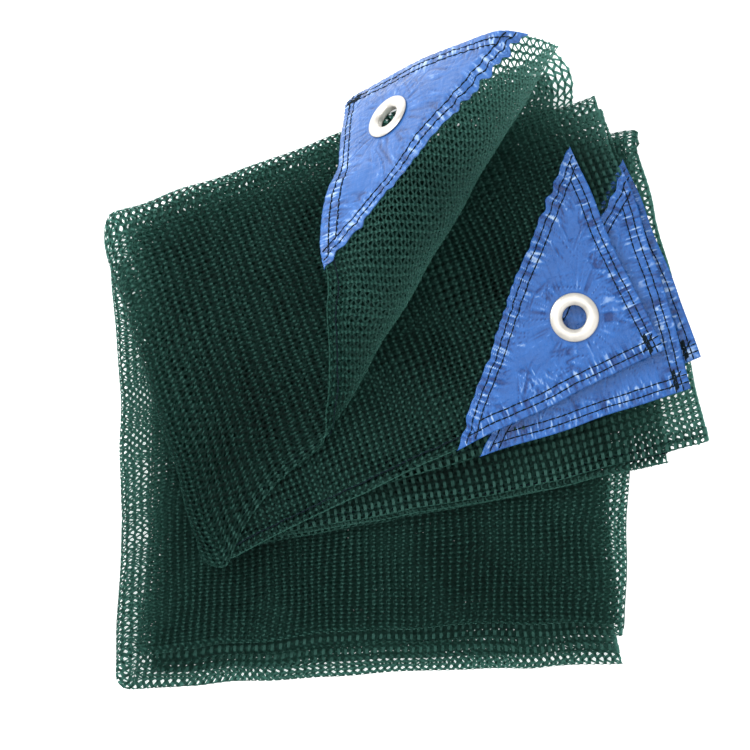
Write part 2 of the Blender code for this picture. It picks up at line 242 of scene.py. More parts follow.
# %% Spots of a layer in space
def spots(layers, name, across, along):
    """The middle of the net over a grid of shares."""
    layer = layers[name]
    top = layers is UPPER_LAYERS and name == "A1"
    points = plan(layer, across, along, BOW_LEAN if top else 1)
    up = 0.0
    if top:
        points, up = curl(points)
    offset = (points - np.array(RISE_START)) @ np.array(RISE_ACROSS)
    rise = layer[1] * smooth((offset - RISE_FROM) / (RISE_TO - RISE_FROM))
    height = SHEET / 2 + layer[0] * PITCH + rise + up
    return np.concatenate([points, height[..., None]], axis=2)


def spread(distance, flat, real):
    """Eases a flat length to the real one, most of it far from the edge."""
    return distance + (real - flat) * (distance / flat) ** 3


def upper_spots(name, widths, lengths):
    """A layer's upper part, from its cut end to the crease, at distances from its right edge."""
    layer = UPPER_LAYERS[name]
    real_width = 0.5 * (math.dist(layer[2], layer[3]) + math.dist(layer[4], layer[5]))
    real_length = math.dist(layer[3], layer[5])
    across = 1.0 - spread(np.array(widths, float), PANEL_WIDTH, real_width) / real_width
    along = 1.0 - spread(np.array(lengths, float), END_LENGTH, real_length) / real_length
    return spots(UPPER_LAYERS, name, across, along)


# %% [markdown]
# ## One fine sheet
# Where two layers meet, a rounded fold joins them: a Bezier curve whose handles run on in the direction of
# each layer. With the folds in, the eight layers are one grid of points from selvedge to selvedge.

# %% The fine grid
WIDTH_LINES = np.linspace(0.0, PANEL_WIDTH, 50)
LENGTH_LINES = np.linspace(0.0, END_LENGTH, 31)
BASE_STEPS = 30
CREASE_STEPS = 14
SIDE_STEPS = 8
MIDDLE_STEPS = 8


def fold(before, start, end, after, steps, bulge, edge=None):
    """The points between two layers, given the last two points of each."""
    apart = end - start
    if edge is not None:
        apart = apart - edge * ((apart * edge).sum(-1) / (edge * edge).sum(-1))[..., None]
    reach = np.minimum(np.linalg.norm(apart, axis=-1) * 2.0 / 3.0, bulge)[..., None]
    out_start = start + (start - before) / np.linalg.norm(start - before, axis=-1)[..., None] * reach
    out_end = end + (end - after) / np.linalg.norm(end - after, axis=-1)[..., None] * reach
    points = []
    for t in np.arange(1, steps) / steps:
        first, second = 3 * t * (1 - t) ** 2, 3 * t * t * (1 - t)
        points.append((1 - t) ** 3 * start + first * out_start + second * out_end + t ** 3 * end)
    return points


def panel_grid(panel):
    """A panel's points: across from its right edge, along from the first cut end to the second."""
    across = 1.0 - WIDTH_LINES / PANEL_WIDTH
    along = np.linspace(0.0, 1.0, BASE_STEPS + 1)
    first_up = upper_spots(panel + "1", WIDTH_LINES, LENGTH_LINES)
    second_up = upper_spots(panel + "2", WIDTH_LINES, LENGTH_LINES)[:, ::-1]
    first_base = spots(BASE_LAYERS, panel + "1", across, along)
    second_base = spots(BASE_LAYERS, panel + "2", across, along)[:, ::-1]
    parts = [first_up, first_base, second_base, second_up]
    folds = [(CREASE_STEPS, CREASE_BULGE), (MIDDLE_STEPS, CREASE_BULGE), (CREASE_STEPS, CREASE_BULGE)]
    rows = [first_up]
    for (start, end), (steps, bulge) in zip(zip(parts, parts[1:]), folds):
        joint = fold(start[:, -2], start[:, -1], end[:, 0], end[:, 1], steps, bulge)
        rows += [np.stack(joint, axis=1), end]
    return np.concatenate(rows, axis=1)


def net_grid():
    """The whole net: columns from selvedge to selvedge, rows from cut end to cut end."""
    panels = [panel_grid("A"), panel_grid("B")[::-1], panel_grid("C"), panel_grid("D")[::-1]]
    columns = [panels[0]]
    for start, end in zip(panels, panels[1:]):
        edges = np.gradient(start[-1], axis=0) + np.gradient(end[0], axis=0)
        joint = fold(start[-2], start[-1], end[0], end[1], SIDE_STEPS, SIDE_BULGE, edges)
        columns += [np.stack(joint, axis=0), end]
    return np.concatenate(columns, axis=0)


cloth = net_grid()
COLUMNS, ROWS = cloth.shape[:2]
print("grid of", COLUMNS, "by", ROWS, "points")

# %% [markdown]
# ## Flat places for the eyelets
# An eyelet is stiff, so the cloth under it is flat. Each corner has a small square that is pressed into the
# plane that the CAD model gives its eyelet, and the press fades out around it.

# %% Eyelet planes
FADE = 11.0             # from the flat square to free cloth


def eyelet_plane(corner):
    """The middle of an eyelet's square, the direction of its side, and its normal."""
    square = [EYELET_INSET - EYELET_FLAT, EYELET_INSET + EYELET_FLAT]
    cell = upper_spots(corner[1] + str(corner[2]), square, square)
    middle = cell.reshape(-1, 3).mean(0)
    normal = np.cross(cell[1, 1] - cell[0, 0], cell[0, 1] - cell[1, 0])
    normal /= np.linalg.norm(normal)
    side = cell[1, 0] - cell[0, 0]
    side -= normal * (side @ normal)
    return middle, side / np.linalg.norm(side), normal


def corner_view(corner, grid):
    """A view of the cloth's points or normals that starts at a corner of the net and runs inwards."""
    view = grid if corner[1] == "A" else grid[::-1]
    view = view if corner[2] == 1 else view[:, ::-1]
    return view[:len(WIDTH_LINES), :len(LENGTH_LINES)]


planes = {}
for corner in CORNERS:
    middle, side, normal = planes[corner[0]] = eyelet_plane(corner)
    square = corner_view(corner, cloth)
    near_side = 1.0 - smooth((np.abs(WIDTH_LINES - EYELET_INSET) - EYELET_FLAT) / FADE)
    near_end = 1.0 - smooth((np.abs(LENGTH_LINES - EYELET_INSET) - EYELET_FLAT) / FADE)
    pressed = np.outer(near_side, near_end)
    square -= ((square - middle) @ normal * pressed)[..., None] * normal
cloth -= np.array(CENTRE)

# %% [markdown]
# ## Waves
# No edge of a used net is quite straight. A smooth push that depends only on the place in space moves all
# the layers together, so it can't make them cross. It fades out at the stiff eyelets.

# %% Push the cloth sideways
WAVE_SIZE = 26.0
WAVE_PUSH = 1.5
STILL = 14.0            # from an eyelet's middle to the first wave, and on to the full ones

# The noise shifts its pattern by numbers that it draws from this seed.
noise.seed_set(3)


def pushed(points):
    """Points moved sideways by a smooth noise, except near an eyelet."""
    middles = [Vector(middle) - Vector(CENTRE) for middle, _, _ in planes.values()]
    moved = []
    for point in points:
        spot = Vector(point)
        near = min((spot - middle).length for middle in middles)
        push = noise.noise_vector(spot / WAVE_SIZE) * WAVE_PUSH * min(1.0, max(0.0, (near - STILL) / STILL))
        moved.append((spot.x + push.x, spot.y + push.y, spot.z))
    return np.array(moved)


unpushed = cloth
cloth = pushed(cloth.reshape(-1, 3)).reshape(cloth.shape)
print("the waves push the cloth by up to", round(float(np.abs(cloth - unpushed).max()), 2), "mm")

# %% [markdown]
# ## A cloth to wrap things on
# Stitches are much easier to lay out flat. The folded sheet therefore carries a UV map with the flat
# coordinates, and whatever is laid out flat can look up, by its UV, where it goes in space. This sheet is
# only a guide: it is removed at the end.

# %% Normals and flat lengths
def normals_of(points):
    """The unit normals of a grid of points."""
    out = np.cross(np.gradient(points, axis=0), np.gradient(points, axis=1))
    return out / np.linalg.norm(out, axis=-1)[..., None]


outward = normals_of(cloth)
steps_across = np.linalg.norm(np.diff(cloth, axis=0), axis=-1).mean(1)
steps_along = np.linalg.norm(np.diff(cloth, axis=1), axis=-1).mean(0)
flat_across = np.concatenate([[0.0], np.cumsum(steps_across)])
flat_along = np.concatenate([[0.0], np.cumsum(steps_along)])
FLAT_WIDTH, FLAT_LENGTH = float(flat_across[-1]), float(flat_along[-1])
print(f"the net is {FLAT_WIDTH:.0f} by {FLAT_LENGTH:.0f} mm laid flat")

# %% Guide sheets
helpers = bpy.data.collections.new("helpers")
scene.collection.children.link(helpers)


def guide_sheet(name, points, normals, uvs, faces, where=helpers):
    """A mesh with a UV map and an "out" attribute, for the node trees to sample."""
    mesh = bpy.data.meshes.new(name)
    mesh.from_pydata((points * MM).tolist(), [], faces)
    layer = mesh.uv_layers.new(name="flat")
    corners = np.zeros(len(mesh.loops), np.int32)
    mesh.loops.foreach_get("vertex_index", corners)
    layer.data.foreach_set("uv", uvs[corners].astype(np.float32).ravel())
    out = mesh.attributes.new("out", "FLOAT_VECTOR", "POINT")
    out.data.foreach_set("vector", normals.astype(np.float32).ravel())
    return add_object(name, mesh, where)


def grid_faces(columns, rows):
    """The quads of a grid whose points are listed column by column."""
    return [(i * rows + j, (i + 1) * rows + j, (i + 1) * rows + j + 1, i * rows + j + 1)
            for i in range(columns - 1) for j in range(rows - 1)]


shares = np.meshgrid(flat_across / FLAT_WIDTH, flat_along / FLAT_LENGTH, indexing="ij")
flat_places = np.stack(shares, axis=-1)
net_guide = guide_sheet("net_guide", cloth.reshape(-1, 3), outward.reshape(-1, 3), flat_places.reshape(-1, 2),
                        grid_faces(COLUMNS, ROWS))
print("guide sheet with", len(net_guide.data.polygons), "faces")

# %% [markdown]
# ## Node trees from short expressions
# Materials and Geometry Nodes are both trees. Writing `height * 0.5 + 0.2` is easier to read than placing
# and wiring two Math nodes, so a small class wraps a socket and turns Python's operators into nodes.

# %% Sockets as values
class Value:
    """An output socket that can be used in an expression."""

    def __init__(self, tree, made, output=0):
        self.tree, self.made, self.socket = tree, made, made.outputs[output]

    def out(self, name):
        return Value(self.tree, self.made, name)

    def maths(self, operation, first, second):
        return node(self.tree, "ShaderNodeMath", {"operation": operation}, {0: first, 1: second})

    def __add__(self, other):
        return self.maths("ADD", self, other)

    def __radd__(self, other):
        return self.maths("ADD", other, self)

    def __sub__(self, other):
        return self.maths("SUBTRACT", self, other)

    def __rsub__(self, other):
        return self.maths("SUBTRACT", other, self)

    def __mul__(self, other):
        return self.maths("MULTIPLY", self, other)

    def __rmul__(self, other):
        return self.maths("MULTIPLY", other, self)


def fill(tree, made, values):
    """Links or sets the sockets of a node, by name or by number."""
    for name, value in values.items():
        if isinstance(value, Value):
            tree.links.new(value.socket, made.inputs[name])
        else:
            made.inputs[name].default_value = value


def node(tree, kind, settings=None, values=None, output=0):
    """Adds a node: its settings first, then the values or links of its sockets."""
    made = tree.nodes.new(kind)
    for name, value in (settings or {}).items():
        setattr(made, name, value)
    fill(tree, made, values or {})
    return Value(tree, made, output)


def vector_maths(tree, operation, first, second):
    """A Vector Math node. Its second value is a vector, or a factor where it scales."""
    values = {0: first, "Scale" if operation == "SCALE" else 1: second}
    return node(tree, "ShaderNodeVectorMath", {"operation": operation}, values)


# %% [markdown]
# ## Wrapping
# The last steps of every layout are the same: take each point's flat place, look it up on the guide, and
# lift the point along the cloth's normal by its own height. Points that fall off the cloth are deleted.

# %% Shared steps of the trees
SOCKETS = {"objects": "NodeSocketObject", "counts": "NodeSocketInt", "sizes": "NodeSocketFloat",
           "materials": "NodeSocketMaterial"}


def new_tree(name, **inputs):
    """A Geometry Nodes tree with named inputs of each kind. Returns it and its inputs as values."""
    tree = bpy.data.node_groups.new(name, "GeometryNodeTree")
    tree.interface.new_socket("Geometry", in_out="INPUT", socket_type="NodeSocketGeometry")
    for kind, labels in inputs.items():
        for label in labels:
            tree.interface.new_socket(label, in_out="INPUT", socket_type=SOCKETS[kind])
    tree.interface.new_socket("Geometry", in_out="OUTPUT", socket_type="NodeSocketGeometry")
    start = tree.nodes.new("NodeGroupInput")
    return tree, {label: Value(tree, start, label) for labels in inputs.values() for label in labels}


def geometry_of(tree, thing):
    """The geometry of an object."""
    return node(tree, "GeometryNodeObjectInfo", {}, {"Object": thing}).out("Geometry")


def wrap(tree, given, laid, offset, lift):
    """Moves a flat layout, puts it on its guide sheet and ends the tree in its material."""
    moved = node(tree, "GeometryNodeSetPosition", {}, {"Geometry": laid, "Offset": offset})
    where = node(tree, "GeometryNodeInputPosition")
    size = node(tree, "ShaderNodeCombineXYZ", {},
                {"X": given["Flat width"], "Y": given["Flat length"], "Z": 1.0})
    place = vector_maths(tree, "DIVIDE", where, size)
    uv, out = (node(tree, "GeometryNodeInputNamedAttribute", {"data_type": "FLOAT_VECTOR"}, {"Name": name})
               for name in ("flat", "out"))
    sheet = geometry_of(tree, given["Guide"])
    there, normal = (node(tree, "GeometryNodeSampleUVSurface", {"data_type": "FLOAT_VECTOR"},
                          {"Mesh": sheet, "Value": value, "UV Map": uv, "Sample UV": place})
                     for value in (where, out))
    height = node(tree, "ShaderNodeSeparateXYZ", {}, {0: where}).out("Z")
    raised = vector_maths(tree, "SCALE", normal, height + lift)
    missed = node(tree, "FunctionNodeBooleanMath", {"operation": "NOT"}, {0: there.out("Is Valid")})
    kept = node(tree, "GeometryNodeDeleteGeometry", {"domain": "POINT"},
                {"Geometry": moved, "Selection": missed})
    wrapped = node(tree, "GeometryNodeSetPosition", {},
                   {"Geometry": kept, "Position": vector_maths(tree, "ADD", there, raised)})
    dressed = node(tree, "GeometryNodeSetMaterial", {}, {"Geometry": wrapped, "Material": given["Material"]})
    fill(tree, tree.nodes.new("NodeGroupOutput"), {0: dressed})
    return tree


def run_tree(name, tree, **inputs):
    """Runs a tree with its inputs by name and returns the result as a plain object."""
    work = add_object(name + "_work", bpy.data.meshes.new(name + "_start"), scene.collection)
    modifier = work.modifiers.new("layout", "NODES")
    modifier.node_group = tree
    for item in tree.interface.items_tree:
        label = item.name.replace(" ", "_")
        if item.in_out == "INPUT" and label in inputs:
            modifier[item.identifier] = inputs[label]
    graph = bpy.context.evaluated_depsgraph_get()
    mesh = bpy.data.meshes.new_from_object(work.evaluated_get(graph))
    bpy.data.objects.remove(work)
    mesh.name = name
    return add_object(name, mesh, scene.collection)


# %% [markdown]
# ## Materials
# The net is flat polyethylene tape: dark green, a little shiny and thin enough for light to come through.
# Its stitches carry painted highlight on the crowns of their loops and painted shading at the necks between
# them. The patches are glossy woven film: its raised crinkles are painted pale, partly as whitening of the
# film and partly as painted highlight, and its sunk crinkles are painted dark as shading. The eyelets are
# pressed metal with a pale satin finish, and the thread is dark.

# %% Colours
# The net's palest colour is painted highlight on the crowns of its loops; its deepest colour is also painted
# shading at the necks and on one side of the zigzag tape.
NET_DEEP = (0.001, 0.0045, 0.004, 1)
NET_GREEN = (0.008, 0.039, 0.031, 1)
NET_PAINTED_HIGHLIGHT = (0.055, 0.145, 0.12, 1)
NET_THROUGH = (0.17, 0.45, 0.37, 1)
# The film's pale colour is partly whitening of the film and partly painted highlight on raised crinkles; its
# deep colour is also painted shading in sunk crinkles.
FILM_DEEP = (0.002, 0.028, 0.14, 1)
FILM_BLUE = (0.019, 0.115, 0.39, 1)
FILM_PALE = (0.40, 0.54, 0.72, 1)
THREAD = (0.001, 0.004, 0.007, 1)
THREAD_PALE = (0.004, 0.013, 0.02, 1)
RING_WORN = (0.42, 0.40, 0.36, 1)
RING = (0.66, 0.64, 0.60, 1)


def new_material(name):
    """An empty material with its Principled shader, and its tree."""
    made = bpy.data.materials.new(name)
    made.use_nodes = True
    return made, made.node_tree, made.node_tree.nodes["Principled BSDF"]


def spots_of_noise(tree, place, scale, detail, seed, kind="Fac"):
    """A noise texture at a scale in repeats per metre."""
    return node(tree, "ShaderNodeTexNoise", {"noise_dimensions": "4D"},
                {"Vector": place, "W": seed, "Scale": scale, "Detail": detail}).out(kind)


def mixed(tree, share, first, second):
    """A mix of two colours."""
    return node(tree, "ShaderNodeMix", {"data_type": "RGBA"}, {0: share, 6: first, 7: second}, 2)


def ranged(tree, value, low, high):
    """Where a value lies between two limits, from 0 to 1."""
    return node(tree, "ShaderNodeMapRange", {}, {0: value, 1: low, 2: high, 3: 0.0, 4: 1.0})


def carried(tree, name):
    """A number that the mesh carries at its points."""
    return node(tree, "ShaderNodeAttribute", {"attribute_name": name}).out("Fac")


def emboss(tree, height, strength, distance):
    """Turns a height into a normal."""
    return node(tree, "ShaderNodeBump", {}, {"Strength": strength, "Distance": distance, "Height": height})


# %% Net tape
def net_material():
    """Dark tape that lets some light through, with painted highlight on its loops and painted shading at
    their necks.
    """
    made, tree, shader = new_material("net_tape")
    place = node(tree, "ShaderNodeTexCoord").out("Object")
    broad = spots_of_noise(tree, place, 16.0, 3.0, 1.0)
    loops = spots_of_noise(tree, place, 330.0, 2.0, 5.0)
    # Most of the colour is the stitches' painted light: highlight on the crowns, shading at the necks. The
    # noises vary the tape's own colour.
    level = carried(tree, "shade") * 0.65 + loops * 0.45 + broad * 0.35 + carried(tree, "hem") * 0.1
    colour = mixed(tree, ranged(tree, level, 0.35, 0.85), NET_DEEP, NET_GREEN)
    colour = mixed(tree, ranged(tree, level, 0.68, 1.2), colour, NET_PAINTED_HIGHLIGHT)
    fill(tree, shader, {
        "Base Color": colour, "Roughness": loops * 0.3 + 0.4, "Specular IOR Level": 0.06,
        "Normal": emboss(tree, spots_of_noise(tree, place, 2500.0, 1.0, 9.0), 0.35, 0.0002)})
    through = node(tree, "ShaderNodeBsdfTranslucent", {}, {"Color": NET_THROUGH})
    lit = node(tree, "ShaderNodeMixShader", {}, {0: 0.4, 1: Value(tree, shader), 2: through})
    tree.links.new(lit.socket, tree.nodes["Material Output"].inputs["Surface"])
    return made


# %% Blue film
def film_material():
    """Glossy blue film: raised crinkles painted pale as whitening and highlight, sunk ones painted dark as
    shading.
    """
    made, tree, shader = new_material("blue_film")
    place = node(tree, "ShaderNodeTexCoord").out("Object")
    patchy = spots_of_noise(tree, place, 75.0, 4.0, 2.0)
    fine = spots_of_noise(tree, place, 420.0, 3.0, 6.0)
    # Painted light from the crinkles, with noises that vary the film's own colour.
    level = patchy * 0.5 + fine * 0.25 + 0.2 + carried(tree, "crinkle") * 0.65
    colour = mixed(tree, ranged(tree, level, 0.1, 0.75), FILM_DEEP, FILM_BLUE)
    # Painted light: the whole film of a patch can be painted paler.
    colour = mixed(tree, ranged(tree, level, 0.74, 1.25) + carried(tree, "painted_paleness"), colour, FILM_PALE)
    flat = node(tree, "ShaderNodeUVMap", {"uv_map": "flat"})
    streaks = [spots_of_noise(tree, vector_maths(tree, "MULTIPLY", flat, stretch), 1.0, 3.0, 4.0)
               for stretch in ((9.0, 60.0, 0.0), (60.0, 9.0, 0.0))]
    fill(tree, shader, {
        "Base Color": colour, "Roughness": patchy * 0.2 + 0.2, "Specular IOR Level": 0.3,
        "Normal": emboss(tree, streaks[0] * 0.6 + streaks[1] * 0.6 + fine * 0.5, 0.8, 0.0008)})
    return made


# %% Thread and metal
def thread_material():
    """Dull dark thread with a fine twist."""
    made, tree, shader = new_material("dark_thread")
    place = node(tree, "ShaderNodeTexCoord").out("Object")
    twist = spots_of_noise(tree, place, 1800.0, 2.0, 6.0)
    fill(tree, shader, {
        "Base Color": mixed(tree, twist, THREAD, THREAD_PALE), "Roughness": 0.7, "Specular IOR Level": 0.1,
        "Normal": emboss(tree, twist, 0.6, 0.0003)})
    return made


def ring_material():
    """Pale satin metal, duller where it is worn."""
    made, tree, shader = new_material("pale_metal")
    place = node(tree, "ShaderNodeTexCoord").out("Object")
    wear = spots_of_noise(tree, place, 220.0, 4.0, 7.0)
    fill(tree, shader, {
        "Base Color": mixed(tree, wear, RING_WORN, RING), "Roughness": wear * 0.3 + 0.2, "Metallic": 0.6,
        "Normal": emboss(tree, wear, 0.15, 0.0004)})
    return made


net_tape, blue_film = net_material(), film_material()
dark_thread, pale_metal = thread_material(), ring_material()
print("materials:", [made.name for made in (net_tape, blue_film, dark_thread, pale_metal)])

# %% [markdown]
# ## The stitch
# Such a net is warp knitted: chains of loops run along it, and between each two chains a tape zigzags and
# leaves three-cornered holes. One piece of chain with its zigzag is modelled once and repeated. It has few
# faces, because it is used fifty thousand times. Layers that are hardly seen get a plainer one.

# %% One repeat of the knit
WALE = 3.8              # from one chain to the next
REPEAT = 4.2            # two loops of a chain, and one zigzag
NECK = 0.6              # a chain is thinner than this between its loops
CHAIN_DROP = 0.08       # the edges of a chain lie this much under the cloth
TAPE_HALF = 0.46        # half the width of the zigzag's tape
TAPE_SAG = 0.12         # its middle lies this much under its ends
TAPE_TILT = 0.14        # and it is tilted by this much

# Columns: place along the repeat, half width, sideways, height of the ridge.
CHAIN_RINGS = [
    (0.0, 0.35, 0.0, -0.05), (0.25, 0.9, 0.25, 0.4), (0.5, 0.35, 0.0, -0.05), (0.75, 0.9, -0.25, 0.4),
    (1.0, 0.35, 0.0, -0.05),
]
PLAIN_RINGS = [(0.0, 0.45, 0.0, 0.0), (0.25, 0.75, 0.1, 0.0), (0.75, 0.75, -0.1, 0.0), (1.0, 0.45, 0.0, 0.0)]


def from_bmesh(bm, name, where):
    """Turns a bmesh into an object."""
    mesh = bpy.data.meshes.new(name)
    bm.to_mesh(mesh)
    bm.free()
    return add_object(name, mesh, where)


def strip(bm, lines, painted_lights):
    """A ribbon through cross lines of vertices, with a value of painted light at each vertex for the
    material.
    """
    rows = [[bm.verts.new(Vector(point) * MM) for point in line] for line in lines]
    shade = bm.verts.layers.float["shade"]
    for row, row_lit_shares in zip(rows, painted_lights):
        for vert, lit_share in zip(row, row_lit_shares):
            vert[shade] = lit_share
    for low, high in zip(rows, rows[1:]):
        for k in range(len(low) - 1):
            bm.faces.new((low[k], low[k + 1], high[k + 1], high[k])).smooth = True


def stitch(name, rings, ridged, tape_steps):
    """A chain's loops and the zigzag to the next chain."""
    bm = bmesh.new()
    bm.verts.layers.float.new("shade")
    lines, painted_lights = [], []
    for place, half, sideways, ridge in rings:
        y = place * REPEAT
        # Painted light: a chain's lobes are painted lit, palest on the ridge, and its necks are painted as
        # shading.
        lit_share = 1.0 if half > NECK else 0.15
        painted_lights.append((0.6 * lit_share, lit_share, 0.6 * lit_share) if ridged else (0.75 * lit_share, 0.75 * lit_share))
        edge = [(sideways - half, y, -CHAIN_DROP), (sideways + half, y, -CHAIN_DROP)]
        if ridged:
            edge.insert(1, (sideways, y, ridge))
        lines.append(edge)
    strip(bm, lines, painted_lights)
    for start, end, lean in (((0.0, 0.0), (WALE, REPEAT / 2), 1), ((WALE, REPEAT / 2), (0.0, REPEAT), -1)):
        start, end = Vector((*start, 0.0)), Vector((*end, 0.0))
        side = Vector((0.0, 0.0, 1.0)).cross(end - start).normalized() * TAPE_HALF
        lines = []
        for step in range(tape_steps + 1):
            share = step / tape_steps
            middle = start.lerp(end, share) - Vector((0, 0, TAPE_SAG * math.sin(math.pi * share)))
            tilt = Vector((0.0, 0.0, TAPE_TILT * lean * math.sin(math.pi * share)))
            lines.append([middle - side - tilt, middle + side + tilt])
        # Painted shading on one side of the zigzag tape and painted highlight on the other, as its tilt would
        # catch the light.
        strip(bm, lines, [(0.0, 0.3)] * len(lines))
    return from_bmesh(bm, name, helpers)


full_stitch = stitch("full_stitch", CHAIN_RINGS, True, 2)
plain_stitch = stitch("plain_stitch", PLAIN_RINGS, False, 1)
for made in (full_stitch, plain_stitch):
    print(made.name, "has", 2 * len(made.data.polygons), "triangles")

# %% [markdown]
# ## The knitting tree
# A grid of points gets a stitch each. Noise then moves the flat layout a little, so that holes are larger
# and smaller and chains wander, as in any net that was pulled about. A second, narrow grid underneath is
# the turned hem of a cut end.

# %% Knitting tree
HEM_DROP = 0.55         # a turned hem lies this much under the cloth


def stray(tree, where, scale, detail, seed, amount):
    """An offset in the flat layout, from a noise."""
    cloud = spots_of_noise(tree, where, scale, detail, seed, "Color")
    middle = vector_maths(tree, "SUBTRACT", cloud, (0.5, 0.5, 0.5))
    return vector_maths(tree, "MULTIPLY", vector_maths(tree, "SCALE", middle, amount), (1.0, 1.0, 0.0))


def knitting_tree():
    """A tree that knits a piece of the net and lays it on its guide."""
    tree, given = new_tree(
        "knitting", objects=["Stitch", "Guide", "Holes"], counts=["Wales", "Repeats", "Hem repeats"],
        sizes=["Wale pitch", "Repeat pitch", "First wale", "First repeat", "Hem start", "Flat width",
               "Flat length", "Wander", "Jitter", "Ripple", "Hole radius", "Seed"], materials=["Material"])
    grids = []
    parts = [("Repeats", "First repeat", 0.0), ("Hem repeats", "Hem start", -HEM_DROP * MM)]
    for repeats, first, drop in parts:
        across = (given["Wales"] - 1.0) * given["Wale pitch"]
        along = (given[repeats] - 1.0) * given["Repeat pitch"]
        grid = node(tree, "GeometryNodeMeshGrid", {}, {
            "Size X": across, "Size Y": along, "Vertices X": given["Wales"], "Vertices Y": given[repeats]})
        shift = node(tree, "ShaderNodeCombineXYZ", {}, {
            "X": given["First wale"] + across * 0.5, "Y": given[first] + along * 0.5, "Z": drop})
        shifted = node(tree, "GeometryNodeTransform", {}, {"Geometry": grid, "Translation": shift})
        grids.append(node(tree, "GeometryNodeStoreNamedAttribute", {"data_type": "FLOAT", "domain": "POINT"},
                          {"Geometry": shifted, "Name": "hem", "Value": 1.0 if drop else 0.0}))
    joined = tree.nodes.new("GeometryNodeJoinGeometry")
    for grid in grids:
        tree.links.new(grid.socket, joined.inputs[0])
    repeated = node(tree, "GeometryNodeInstanceOnPoints", {},
                    {"Points": Value(tree, joined), "Instance": geometry_of(tree, given["Stitch"])})
    laid = node(tree, "GeometryNodeRealizeInstances", {}, {"Geometry": repeated})
    where = node(tree, "GeometryNodeInputPosition")
    level = vector_maths(tree, "MULTIPLY", where, (1.0, 1.0, 0.0))
    near = node(tree, "GeometryNodeProximity", {"target_element": "POINTS"},
                {0: geometry_of(tree, given["Holes"]), 2: level}).out("Distance")
    cut = node(tree, "FunctionNodeCompare", {"operation": "LESS_THAN"}, {0: near, 1: given["Hole radius"]})
    laid = node(tree, "GeometryNodeDeleteGeometry", {"domain": "POINT"}, {"Geometry": laid, "Selection": cut})
    moves = [stray(tree, where, scale, 2.0, given["Seed"] + seed, amount)
             for scale, amount, seed in ((28.0, given["Wander"], 0.0), (230.0, given["Jitter"], 3.0))]
    wave = spots_of_noise(tree, where, 45.0, 2.0, given["Seed"] + 8.0)
    lifted = node(tree, "ShaderNodeCombineXYZ", {}, {"Z": (wave - 0.5) * given["Ripple"]})
    offset = vector_maths(tree, "ADD", vector_maths(tree, "ADD", moves[0], moves[1]), lifted)
    return wrap(tree, given, laid, offset, 0.0)


knitting = knitting_tree()
print("knitting tree with", len(knitting.nodes), "nodes")

# %% [markdown]
# ## The knitted pieces
# The net has fifty thousand repeats, too many for one mesh, so it is knitted in eight pieces that meet in
# the folds: four panels, two halves each. They share one count of chains and repeats, so the pattern runs
# through from piece to piece.

# %% Where the pieces meet
EDGE = 1.4              # from a selvedge to the first chain
END_GAP = 0.2           # from a cut end to the first repeat
HEM = 2                 # repeats in a turned hem

# The pieces meet in the middle of each fold between two panels, and halfway along the net.
panel_step = len(WIDTH_LINES) + SIDE_STEPS - 1
fold_columns = [panel_step * k - SIDE_STEPS / 2 for k in (1, 2, 3)]
fold_places = np.interp(fold_columns, range(COLUMNS), flat_across)
middle_place = float(np.interp((ROWS - 1) / 2, range(ROWS), flat_along))
wale_count = int((FLAT_WIDTH - 2 * EDGE) / WALE)
repeat_count = int((FLAT_LENGTH - 2 * END_GAP) / REPEAT)
wale_pitch = (FLAT_WIDTH - 2 * EDGE) / wale_count
repeat_pitch = (FLAT_LENGTH - 2 * END_GAP) / repeat_count
wale_ends = [0] + [round((place - EDGE) / wale_pitch) for place in fold_places] + [wale_count + 1]
repeat_ends = [0, round(middle_place / repeat_pitch), repeat_count]
print(f"{wale_count} chains and {repeat_count} repeats, pitches {wale_pitch:.3f} and {repeat_pitch:.3f} mm")

# %% Eyelet centres in the flat layout
def flat_distance(lines, flat, far):
    """The flat place of an eyelet along one side of the net, from its start or from its far end."""
    if far:
        return flat[-1] - np.interp(EYELET_INSET, lines, (flat[-1] - flat[::-1])[:len(lines)])
    return np.interp(EYELET_INSET, lines, flat[:len(lines)])


centres = []
for _, panel, half, _ in CORNERS:
    x = flat_distance(WIDTH_LINES, flat_across, panel == "D")
    y = flat_distance(LENGTH_LINES, flat_along, half == 2)
    centres.append((float(x) * MM, float(y) * MM, 0.0))
hole_mesh = bpy.data.meshes.new("eyelet_centres")
hole_mesh.from_pydata(centres, [], [])
eyelet_centres = add_object("eyelet_centres", hole_mesh, helpers)
print("eyelet centres, flat:", np.round(centres, 4).tolist())

